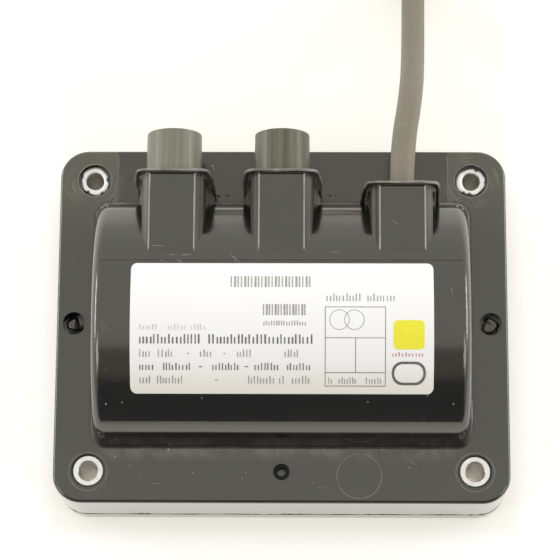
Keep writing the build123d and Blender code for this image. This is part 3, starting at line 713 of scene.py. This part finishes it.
# Supply cable: one smooth line along the model's route and round the flat coil
CABLE_ROUTE = (
    (30.9, 21.3, 41.0),
    (30.9, 42.0, 41.0),
    (34.2, 62.0, 31.5),
    (35.4, 79.0, 15.0),
    (36.0, 98.0, 4.2),
    (36.4, 119.0, 3.3),
    (36.4, 137.0, 3.4),
    (36.4, 152.0, 4.0),
)
COIL_CENTRE = (-1.2, 152.0)
COIL_Z = 4.0
COIL_START_R = 37.6
COIL_PITCH = 6.4
COIL_TURNS = 1.75
STEPS_PER_TURN = 16
cable_places = [(*place, 1.0) for place in CABLE_ROUTE]
coil_steps = int(COIL_TURNS * STEPS_PER_TURN)
for step in range(1, coil_steps + 1):
    turns = step / STEPS_PER_TURN
    radius = COIL_START_R - COIL_PITCH * turns
    if step < coil_steps:
        radius /= math.cos(math.pi / STEPS_PER_TURN) ** 0.5
    angle = 2 * math.pi * turns
    x = COIL_CENTRE[0] + radius * math.cos(angle)
    y = COIL_CENTRE[1] + radius * math.sin(angle)
    cable_places.append((x, y, COIL_Z, 1.0))

cord = curve_piece("supply_cord", "NURBS", CABLE_R, 8, cable_places, cable_sheath, 10)
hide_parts("supply_cable", "supply_cable_coil")


# Print on the label: thin patches of ink that follow the bulge, in generic shapes
PATCH_STRIP = 1.2
LINE = 0.16
SHORTEST_WORD = 1.0


def add_patch(bm, outline, lift=INK_GAP):
    """A closed outline laid on the bulge, cut into strips along Y so that it follows the curve."""
    low = min(y for _, y in outline)
    high = max(y for _, y in outline)
    count = max(1, math.ceil((high - low) / PATCH_STRIP))
    flat = bmesh.new()
    flat.faces.new([flat.verts.new((x, y, 0.0)) for x, y in outline])
    for index in range(1, count):
        level = low + (high - low) * index / count
        geometry = flat.verts[:] + flat.edges[:] + flat.faces[:]
        bmesh.ops.bisect_plane(flat, geom=geometry, plane_co=(0, level, 0), plane_no=(0, 1, 0))
    lookup = {vert: arch_point(bm, vert.co.x, vert.co.y, lift) for vert in flat.verts}
    for face in flat.faces:
        bm.faces.new([lookup[vert] for vert in face.verts])
    flat.free()


def add_ring(bm, x, y, radius, lift=INK_GAP):
    """A thin round line."""
    for quad in ring_quads(x, y, radius, radius - LINE, 40):
        bm.faces.new([arch_point(bm, px, py, lift) for px, py in quad])


def add_frame(bm, x_low, y_low, x_high, y_high):
    """Four thin lines round a box."""
    add_patch(bm, box_outline(x_low, y_high - LINE, x_high, y_high))
    add_patch(bm, box_outline(x_low, y_low, x_high, y_low + LINE))
    add_patch(bm, box_outline(x_low, y_low + LINE, x_low + LINE, y_high - LINE))
    add_patch(bm, box_outline(x_high - LINE, y_low + LINE, x_high, y_high - LINE))


def add_bars(bm, x_low, x_high, y_low, y_high, pitch):
    """A block of upright bars in a simple repeating rhythm."""
    x = x_low
    index = 0
    while x < x_high - 0.4:
        add_patch(bm, box_outline(x, y_low, x + (0.28, 0.5, 0.34)[index % 3], y_high))
        x += pitch
        index += 1


def add_words(bm, words, y_low, y_high, pitch, width):
    """Word-like runs of upright strokes of uneven height, with no letters in them, or a dash."""
    for x_low, x_high in words:
        if x_high - x_low < SHORTEST_WORD:
            add_patch(bm, box_outline(x_low, y_low + 0.7, x_high, y_low + 0.95))
            continue
        x = x_low
        while x + width <= x_high + 1e-6:
            top = y_high - (y_high - y_low) * rng.choice((0.0, 0.0, 0.28, 0.28, 0.3))
            thick = width * rng.uniform(0.85, 1.2)
            add_patch(bm, box_outline(x, y_low, x + thick, top))
            x += pitch * rng.uniform(0.85, 1.2)


def add_oval(bm, outline, centre):
    """A broad outline, drawn inward from the given one."""
    for first, second in zip(outline, outline[1:] + outline[:1]):
        quad = [first, second]
        for x, y in (second, first):
            quad.append((x + (centre[0] - x) * 0.15, y + (centre[1] - y) * 0.22))
        bm.faces.new([arch_point(bm, x, y, INK_GAP) for x, y in quad])


dark = bmesh.new()
grey = bmesh.new()
faint = bmesh.new()
add_bars(grey, -12.7, 7.9, 3.8, 6.7, 0.86)
add_bars(grey, -4.5, 6.6, -3.5, -0.7, 0.74)

# Lines of words: ink, their X ranges, low and high Y, pitch and width of a stroke
for ink, words, *line in (
    (grey, ((-4.4, 6.6),), -6.1, -4.9, 0.62, 0.26),
    (faint, ((-35.6, -30.6), (-28.4, -23.4), (-22.6, -19.0)), -7.2, -5.8, 0.8, 0.28),
    (dark, ((-35.6, -19.8), (-18.2, 8.5)), -10.6, -8.3, 0.92, 0.36),
    (grey, ((-35.6, -32.2), (-30.9, -27.2), (-20.3, -17.1), (-11.0, -7.0)), -13.8, -12.0, 0.78, 0.27),
    (grey, ((-23.6, -23.1), (-14.4, -13.9), (1.0, 4.9)), -13.8, -12.0, 0.78, 0.27),
    (dark, ((-35.6, -31.4), (-29.6, -22.3), (-20.6, -19.8), (-17.2, -10.2)), -16.9, -15.2, 0.78, 0.27),
    (dark, ((-9.0, -8.2), (-6.6, 0.0), (1.6, 7.6)), -16.9, -15.2, 0.78, 0.27),
    (grey, ((-35.6, -32.5), (-31.2, -24.6), (-16.6, -15.9)), -20.0, -18.2, 0.78, 0.27),
    (grey, ((-8.2, -1.6), (-0.4, 1.6), (2.8, 7.2)), -20.0, -18.2, 0.78, 0.27),
    (grey, ((11.5, 20.2), (21.8, 28.7)), 0.1, 2.1, 0.82, 0.26),
):
    add_words(ink, words, *line)

# Drawing frame with two crossing rings, and plain marks on the right
add_frame(dark, 11.1, -20.6, 26.4, -1.3)
add_patch(dark, box_outline(11.26, -9.2, 26.24, -9.04))
add_patch(dark, box_outline(11.26, -17.5, 26.24, -17.34))
add_patch(dark, box_outline(18.72, -17.34, 18.88, -9.2))
add_ring(grey, 14.75, -4.6, 2.55)
add_ring(grey, 18.5, -4.6, 2.55, INK_GAP * 1.3)
add_words(grey, ((12.0, 13.4), (14.6, 19.0), (21.4, 25.4)), -20.0, -18.5, 0.7, 0.24)
add_oval(dark, rounded_outline(27.9, -20.3, 36.5, -14.8, 2.6, 8), (32.2, -17.55))

yellow = bmesh.new()
add_patch(yellow, rounded_outline(28.3, -11.9, 36.1, -4.7, 1.2))
red = bmesh.new()
add_words(red, ((28.0, 36.5),), -13.6, -12.6, 0.8, 0.3)
print_piece("label_print_dark", dark, ink_dark)
print_piece("label_print_grey", grey, ink_grey)
print_piece("label_print_faint", faint, ink_faint)
print_piece("label_print_yellow", yellow, ink_yellow)
print_piece("label_print_red", red, ink_red)

# Scuffs on the bulge behind the label, on the towers and on the flange, each a thin pale stroke
bulge_scuffs = (
    ((-28.9, 12.7), (-26.4, 12.8), 0.30),
    ((-25.8, 12.6), (-22.9, 12.9), 0.42),
    ((-30.9, 11.3), (-29.2, 10.9), 0.26),
    ((-26.9, 11.3), (-25.0, 10.9), 0.24),
    ((-12.9, 12.9), (-10.4, 10.6), 0.24),
    ((-12.2, 11.4), (-11.3, 10.8), 0.20),
    ((12.0, 13.8), (15.5, 13.3), 0.16),
    ((-45.2, -4.0), (-44.6, -9.5), 0.16),
    ((-44.3, -6.0), (-43.4, -8.0), 0.14),
    ((42.6, 5.0), (43.4, 1.5), 0.16),
)
tower_scuffs = (
    ((-33.2, 15.3), (-29.7, 15.1), 0.22),
    ((28.2, 22.0), (30.0, 20.6), 0.16),
)
flange_scuffs = (
    ((-44.5, -34.2), (-43.2, -35.1), 0.16),
    ((-41.6, -34.6), (-39.8, -34.3), 0.14),
    ((-40.2, -36.8), (-38.6, -38.6), 0.15),
    ((-36.9, -38.8), (-36.2, -41.4), 0.15),
    ((-39.2, -33.3), (-38.7, -33.9), 0.30),
    ((-28.9, -33.2), (-28.4, -33.6), 0.28),
    ((-33.9, -42.6), (-31.0, -42.2), 0.12),
    ((8.4, -43.1), (12.6, -43.5), 0.12),
    ((33.0, -36.0), (34.9, -37.6), 0.14),
    ((54.2, 20.2), (54.9, 16.4), 0.14),
    ((-55.4, 19.2), (-54.8, 15.7), 0.13),
)
scuffs = bmesh.new()
for skin, strokes in ((bulge_skin, bulge_scuffs), (tower_skin, tower_scuffs), (flange_skin, flange_scuffs)):
    for first, last, width in strokes:
        add_stroke(scuffs, first, last, width, skin)
print_piece("surface_scuffs", scuffs, scuff_plastic)

# Parting line of the mould across the bulge
PARTING_Y = 11.12
PARTING_STEP = 2.0
parting = bmesh.new()
for step in range(46):
    x = -46.0 + PARTING_STEP * step
    low = PARTING_Y + rng.uniform(-0.03, 0.03)
    outline = box_outline(x, low, x + PARTING_STEP, low + rng.uniform(0.28, 0.40))
    add_patch(parting, outline, THIN_GAP - LABEL_FILM)
print_piece("parting_line", parting, seam_plastic)


# Melted heads of the two side pegs, lumpy and glossy, down in their wells
def melted_head(name, x, seed):
    bm = bmesh.new()
    bmesh.ops.create_icosphere(bm, subdivisions=4, radius=1.0)
    lump = random.Random(seed)
    waves = []
    for _ in range(7):
        direction = Vector((lump.uniform(-1, 1), lump.uniform(-1, 1), lump.uniform(-1, 1))).normalized()
        waves.append((direction, lump.uniform(2.0, 5.0), lump.uniform(0, 6.28), lump.uniform(0.05, 0.12)))
    for vert in bm.verts:
        place = vert.co.copy()
        swell = 1.0
        for direction, rate, phase, reach in waves:
            swell += reach * math.sin(rate * place.dot(direction) + phase)
        height = 1.25 * place.z * swell if place.z > 0 else 0.4 * place.z
        px = x + PEG_HEAD_R * place.x * swell
        vert.co = Vector((px, PEG_HEAD_R * place.y * swell, PEG_HEAD_Z + height)) * MM
    mesh_piece(name, bm, melted_plastic, True)


melted_head("peg_head_left", -PEG_X, 11)
melted_head("peg_head_right", PEG_X, 23)

# Painted highlights along the tower tops' edges, each in two narrow pale strips over the rounded edge
EDGE_FRONT = 14.4
edges = bmesh.new()
for x, back in TOWERS:
    for side in (-1, 1):
        lines = []
        for reach, z in ((5.60, 49.425), (5.80, 49.375), (5.95, 49.235)):
            lines.append(((x + side * reach, EDGE_FRONT, z), (x + side * reach, back + 0.2, z)))
        add_strip(edges, lines[0], lines[1], 0.02)
        add_strip(edges, lines[1], lines[2], 0.02)
print_piece("tower_edge_highlights", edges, edge_highlight_plastic)

# Painted highlights: pale lines along the ends of the rear panel, rings round the four eyelets and round the
# insert mark
panel = bmesh.new()
for side in (-1, 1):
    lines = []
    for reach, z in ((43.66, 26.83), (44.20, 27.03)):
        lines.append(((side * reach, 33.4, z), (side * reach, 46.2, z)))
    add_strip(panel, lines[0], lines[1], 0.06)
for x in (-HOLE_X, HOLE_X):
    flat_ring(panel, x, REAR_ROW_Y, 4.42, 4.62)
    flat_ring(panel, x, FRONT_ROW_Y, 4.95, 5.08)
flat_ring(panel, *INSERT_MARK, 5.70, 5.86)
print_piece("panel_edge_highlights", panel, panel_highlight_plastic)

# Cove where the bulge's walls meet the flange, small in front and lower on the sunk rear panel
COVE_X = 48.75
COVE_Y = 32.42
COVE_R = 1.25
FRONT_COVE_R = 0.45
COVE_STEPS = 6
PANEL_DEPTH = 0.2
cove = bmesh.new()
outline = rounded_outline(-COVE_X, ARCH_Y - COVE_Y, COVE_X, ARCH_Y + COVE_Y, 3.2, 8)
line = spread(outline + outline[:1], 2.0, math.ceil)
rows = []
for before, here, after in zip(line[-1:] + line[:-1], line, line[1:] + line[:1]):
    run = (after - before).normalized()
    outward = Vector((run.y, -run.x))
    base = FLANGE_TOP - (PANEL_DEPTH if here.y > 30.0 and abs(here.x) < 43.9 else 0.0)
    reach = COVE_R if here.y > -28.0 else FRONT_COVE_R
    row = []
    for step in range(COVE_STEPS + 1):
        turn = math.radians(90 * step / COVE_STEPS)
        out = reach * (1 - math.cos(turn)) - (0.22 if step == 0 else 0.0)
        up = reach * (1 - math.sin(turn)) + 0.02
        point = here + outward * out
        row.append(add_point(cove, point.x, point.y, base + up))
    rows.append(row)
bridge(cove, rows, True)
shell_piece("bulge_cove", cove, cove_plastic, True)

# Thin bead of flash along the bulge's foot at the right end and the rear, painted pale as its highlight. Its
# line ends with two straight runs inside the part, out of sight.
BEAD_X = 49.2
BEAD_FRONT = -26.0
outline = rounded_outline(-BEAD_X, ARCH_Y - 32.9, BEAD_X, ARCH_Y + 32.9, 3.6, 8)
foot_line = [place for place in outline if place[1] > BEAD_FRONT]
foot_line = [(BEAD_X, BEAD_FRONT)] + foot_line[1:] + foot_line[:1] + [(-BEAD_X, BEAD_FRONT)]
bead_places = []
for place in spread(foot_line, 1.5, round) + [Vector(foot_line[-1])]:
    bead_places.append((place.x, place.y, FLANGE_TOP + 0.35, rng.uniform(0.7, 1.25)))
bead = curve_piece("foot_bead", "POLY", 0.26, 2, bead_places, flash_highlight_plastic)

# Collars at the back of each tower: a flat plate with an uneven rounded bead round it, the bead painted pale
# as its highlight
half_rim = [(10.1, 27.2), (10.1, 31.0), (10.1, 36.0), (9.9, 41.0)]
half_rim += [(9.5, 45.5), (9.0, 48.9), (7.4, 49.9), (4.0, 50.0)]
rim = [(-px, z) for px, z in half_rim] + [(0.0, 50.0)] + half_rim[::-1]
for index, (x, back) in enumerate(TOWERS):
    plate = bmesh.new()
    front_edge = [add_point(plate, x + px * 0.985, back + 0.75, z - 0.1) for px, z in rim]
    rear_edge = [add_point(plate, x + px * 0.985, back + 1.2, z - 0.1) for px, z in rim]
    plate.faces.new(front_edge)
    plate.faces.new(rear_edge[::-1])
    for step in range(len(rim)):
        near = (step + 1) % len(rim)
        plate.faces.new([front_edge[near], front_edge[step], rear_edge[step], rear_edge[near]])
    shell_piece(f"collar_plate_{index}", plate, housing_plastic)
    rim_places = []
    for px, z in rim:
        wander = rng.uniform(-0.12, 0.12)
        y = back + 1.0 + rng.uniform(-0.12, 0.12)
        rim_places.append((x + px + wander, y, z + wander, rng.uniform(0.75, 1.25)))
    bead = curve_piece(f"collar_rim_{index}", "NURBS", 0.36, 3, rim_places, flash_highlight_plastic, 6)

# Lips of the rear eyelets, rolled over and split at their rims
LIP_STEPS = 120
LIP_PROFILE = ((0.0, -0.5), (0.0, 0.12), (0.15, 0.34), (0.5, 0.40), (0.85, 0.34), (1.0, 0.12), (1.0, -0.45))


def split_lip(name, x, seed):
    """A rolled lip with five notches, where the profile gives the part of the width and the rise."""
    lump = random.Random(seed)
    notches = [math.radians(72 * step + lump.uniform(-26, 26)) for step in range(5)]
    depths = [lump.uniform(0.1, 0.85) for _ in notches]
    widths = [lump.uniform(0.09, 0.2) for _ in notches]
    phase = lump.uniform(0, 6.28)
    bm = bmesh.new()
    rows = []
    for step in range(LIP_STEPS):
        turn = 2 * math.pi * step / LIP_STEPS
        outer = LIP_OUTER_R + 0.16 * math.sin(2 * turn + phase) + 0.1 * math.sin(5 * turn + 2 * phase)
        for notch, depth, width in zip(notches, depths, widths):
            apart = (turn - notch + math.pi) % (2 * math.pi) - math.pi
            outer -= depth * math.exp(-((apart / width) ** 2))
        inner = LIP_INNER_R + 0.05 * math.sin(3 * turn + phase)
        swell = 0.06 * math.sin(4 * turn + phase)
        row = []
        for across, up in LIP_PROFILE:
            radius = inner + (outer - inner) * across
            px = x + radius * math.cos(turn)
            py = REAR_ROW_Y + radius * math.sin(turn)
            row.append(add_point(bm, px, py, EYELET_TOP + up + swell))
        rows.append(row)
    bridge(bm, rows, True)
    shell_piece(name, bm, lip_metal, True)


split_lip("eyelet_lip_rear_left", -HOLE_X, 5)
split_lip("eyelet_lip_rear_right", HOLE_X, 9)

# Uneven seam of the cover round the skirt, with small burrs
SEAM_Z = 8.0
SEAM_CORNER_R = 7.67
SEAM_GAP = 0.02
housing = nodes["housing"]
corners = [housing.matrix_world @ Vector(corner) / MM for corner in housing.bound_box]
reach_x = max(corner.x for corner in corners) + SEAM_GAP
front_y = min(corner.y for corner in corners) - SEAM_GAP
outline = rounded_outline(-reach_x, front_y, reach_x, -front_y, SEAM_CORNER_R, 10)
seam = bmesh.new()
rows = []
for place in spread(outline + outline[:1], 0.9, round):
    burr = rng.uniform(0.3, 0.7) if rng.random() < 0.14 else 0.0
    half = 0.42 + 0.16 * math.sin(place.x * 0.47 + 0.5) + rng.uniform(0.0, 0.2) + burr
    z = SEAM_Z + 0.12 * math.sin(place.x * 0.31) + 0.08 * math.sin(place.x * 0.83 + 1.0)
    rows.append([add_point(seam, place.x, place.y, z + part) for part in (half, -half)])
for low, high in zip(rows, rows[1:] + rows[:1]):
    seam.faces.new([low[0], low[1], high[1], high[0]])
shell_piece("cover_seam", seam, seam_plastic)

# Painted shade: a dark ring laid over the gap round the front peg
gap = bmesh.new()
flat_ring(gap, 0.0, FRONT_ROW_Y, 1.15, 2.05)
print_piece("peg_gap_shade", gap, gap_shade_plastic)

# Pale specks on the front of the bulge and on the flange
specks = bmesh.new()
for skin, places in (
    (
        bulge_skin,
        (
            (-31.4, -21.8, 0.2),
            (-40.2, -24.3, 0.22),
            (-20.0, -23.2, 0.14),
            (-44.3, -24.6, 0.26),
            (6.0, -22.4, 0.14),
            (22.0, -24.0, 0.18),
            (37.0, -22.6, 0.16),
            (43.6, -24.4, 0.22),
        ),
    ),
    (
        flange_skin,
        (
            (-29.3, -33.4, 0.28),
            (-34.0, -33.3, 0.18),
            (-22.6, -33.5, 0.2),
            (-1.0, -33.4, 0.2),
            (11.0, -33.4, 0.16),
            (26.0, -33.5, 0.22),
            (-43.0, -35.3, 0.24),
            (-23.0, -39.5, 0.18),
            (-9.2, -39.4, 0.2),
            (-10.2, -41.0, 0.14),
            (8.0, -42.0, 0.14),
            (33.0, -38.0, 0.2),
        ),
    ),
):
    for x, y, radius in places:
        add_crumb(specks, x, y, skin(y), radius, 1, (0.8, 1.2), 0.5)
shell_piece("pale_specks", specks, speck_plastic, True)

# Small beads of stray plastic beside the collars
crumbs = bmesh.new()
for x, y, z, radius in (
    (-17.0, 34.9, 26.9, 0.42),
    (-14.6, 35.1, 26.9, 0.3),
    (-15.6, 35.0, 26.85, 0.22),
    (12.5, 35.1, 26.9, 0.34),
    (14.0, 35.0, 26.85, 0.2),
    (-45.3, 33.9, 27.0, 0.3),
    (-46.6, 33.2, 27.0, 0.22),
    (45.6, 33.6, 27.0, 0.24),
    (-17.9, 37.2, 46.2, 0.34),
    (-17.6, 36.6, 45.2, 0.26),
):
    add_crumb(crumbs, x, y, z, radius, 2, (0.85, 1.15), 0.7)
shell_piece("stray_beads", crumbs, melted_plastic, True)


# Floor, seen white where nothing shades it, with a painted shadow near the part and painted shade under it
def floor_paint():
    """Plain paint for bounced light, and for what is seen a grey one with a glow of its own, weaker and
    creamier near the part as a painted shadow and weaker still under it as painted shade.
    """
    material = bpy.data.materials.new("floor_paint")
    material.use_nodes = True
    tree = material.node_tree
    tree.nodes.clear()
    rays = node(tree, "ShaderNodeLightPath").outputs
    seen = greatest(tree, rays["Is Camera Ray"], rays["Is Glossy Ray"], rays["Is Transmission Ray"])
    bare = node(tree, "ShaderNodeBsdfDiffuse", Color=(0.80, 0.80, 0.79, 1.0))
    shaded = node(tree, "ShaderNodeBsdfDiffuse", Color=(0.60, 0.60, 0.62, 1.0))
    x, y, _ = split_xyz(tree, node(tree, "ShaderNodeNewGeometry").outputs["Position"])
    aside = math_node(tree, "ABSOLUTE", x)
    # Under the part the glow is weaker, most of all toward the rear: painted shade on the floor seen through
    # the eyelets
    under = product(tree, below(tree, aside, UNDER_X), below(tree, math_node(tree, "ABSOLUTE", y), UNDER_Y))
    off_x = math_node(tree, "SUBTRACT", aside, OUTLINE_X)
    off_y = math_node(tree, "SUBTRACT", product(tree, y, -1.0), OUTLINE_Y)
    # Near the part's outline the glow is weaker and creamier, fading out within a few millimetres: a painted
    # shadow
    shadow_fade = rising(tree, greatest(tree, off_x, off_y), 0.0005, 0.0075)
    glow = node(tree, "ShaderNodeEmission")
    link(tree, mix_colour(tree, shadow_fade, (1.0, 0.965, 0.80), (1.0, 0.975, 0.90)), glow.inputs["Color"])
    strength = node(tree, "ShaderNodeMix", data_type="FLOAT")
    link(tree, under, strength.inputs["Factor"])
    link(tree, map_range(tree, shadow_fade, 0.0, 1.0, 0.50, 0.60, False), strength.inputs[2])
    link(tree, map_range(tree, y, -0.01, 0.01, 0.42, 0.2), strength.inputs[3])
    link(tree, strength.outputs[0], glow.inputs["Strength"])
    lifted = node(tree, "ShaderNodeAddShader")
    link(tree, shaded.outputs["BSDF"], lifted.inputs[0])
    link(tree, glow.outputs["Emission"], lifted.inputs[1])
    choice = node(tree, "ShaderNodeMixShader")
    link(tree, seen, choice.inputs["Fac"])
    link(tree, bare.outputs["BSDF"], choice.inputs[1])
    link(tree, lifted.outputs["Shader"], choice.inputs[2])
    output = node(tree, "ShaderNodeOutputMaterial")
    link(tree, choice.outputs["Shader"], output.inputs["Surface"])
    return material


FLOOR_HALF = 12.0
FLOOR_DROP = 0.0003
floor_mesh = bpy.data.meshes.new("floor")
floor_corners = [(x, y, 0) for x, y in box_outline(-FLOOR_HALF, -FLOOR_HALF, FLOOR_HALF, FLOOR_HALF)]
floor_mesh.from_pydata(floor_corners, [], [(0, 1, 2, 3)])
floor_mesh.materials.append(floor_paint())
floor = new_object("floor", floor_mesh)
floor.location.z = -FLOOR_DROP


# World: pale room, with a dark part above the front that only the object's front faces mirror
def room_light():
    world = bpy.data.worlds.new("room")
    world.use_nodes = True
    tree = world.node_tree
    tree.nodes.clear()
    x, y, z = split_xyz(tree, node(tree, "ShaderNodeTexCoord").outputs["Generated"])
    angle = math_node(tree, "ARCTAN2", product(tree, y, -1.0), z)
    first = map_range(tree, angle, math.radians(19), math.radians(25), 0.0, 0.61)
    second = map_range(tree, angle, math.radians(42), math.radians(52), 0.0, 0.30)
    middle = map_range(tree, math_node(tree, "ABSOLUTE", x), 0.55, 0.8, 1.0, 0.25)
    shade = product(tree, math_node(tree, "ADD", first, second), middle)
    camera_ray = node(tree, "ShaderNodeLightPath").outputs["Is Camera Ray"]
    background = node(tree, "ShaderNodeBackground")
    warm = (1.0, 0.90, 0.80)
    tint = [(0.0, (1.0, 0.995, 0.98)), (0.5, warm), (0.62, warm), (0.9, (1.0, 1.0, 1.15))]
    link(tree, ramp(tree, shade, tint), background.inputs["Color"])
    link(tree, greatest(tree, rest(tree, shade), camera_ray), background.inputs["Strength"])
    output = node(tree, "ShaderNodeOutputWorld")
    link(tree, background.outputs["Background"], output.inputs["Surface"])
    return world


scene.world = room_light()

# Area lamps: name, place, height of the point that each faces, width, height and power
for name, place, aim_z, width, height, power in (
    ("left_front", (-1.5, -0.7, 1.2), 0.03, 0.7, 0.7, 4.5),
    ("right_front", (1.5, -0.7, 1.2), 0.03, 0.7, 0.7, 4.0),
    ("left_strip", (-1.6, 0.35, 0.5), 0.04, 1.0, 0.25, 6.0),
    ("right_strip", (1.6, 0.35, 0.5), 0.04, 1.0, 0.25, 6.0),
):
    data = bpy.data.lights.new(name, "AREA")
    data.shape = "RECTANGLE"
    data.size = width
    data.size_y = height
    data.energy = power
    lamp = new_object(name, data)
    lamp.location = place
    lamp.rotation_mode = "QUATERNION"
    lamp.rotation_quaternion = (Vector((0, 0, aim_z)) - Vector(place)).to_track_quat("-Z", "Y")

# Camera, at the place that the photograph was taken from
FOCAL_PIXELS = 2369.81
PICTURE_PIXELS = 560
SENSOR = 36.0
CAMERA_PLACE = (8.1, -138.5, 632.4)
CAMERA_TURNS = ((0.243353, "X"), (0.013968, "Y"), (0.001856, "Z"))
camera_data = bpy.data.cameras.new("camera")
camera_data.sensor_width = SENSOR
camera_data.lens = FOCAL_PIXELS / PICTURE_PIXELS * SENSOR
camera_data.clip_start = 0.05
camera_data.clip_end = 50.0
camera = new_object("camera", camera_data)
place = Matrix.Translation([part * MM for part in CAMERA_PLACE])
for turn, axis in CAMERA_TURNS:
    place = place @ Matrix.Rotation(turn, 4, axis)
camera.matrix_world = place
scene.camera = camera
scene.view_settings.view_transform = "Standard"
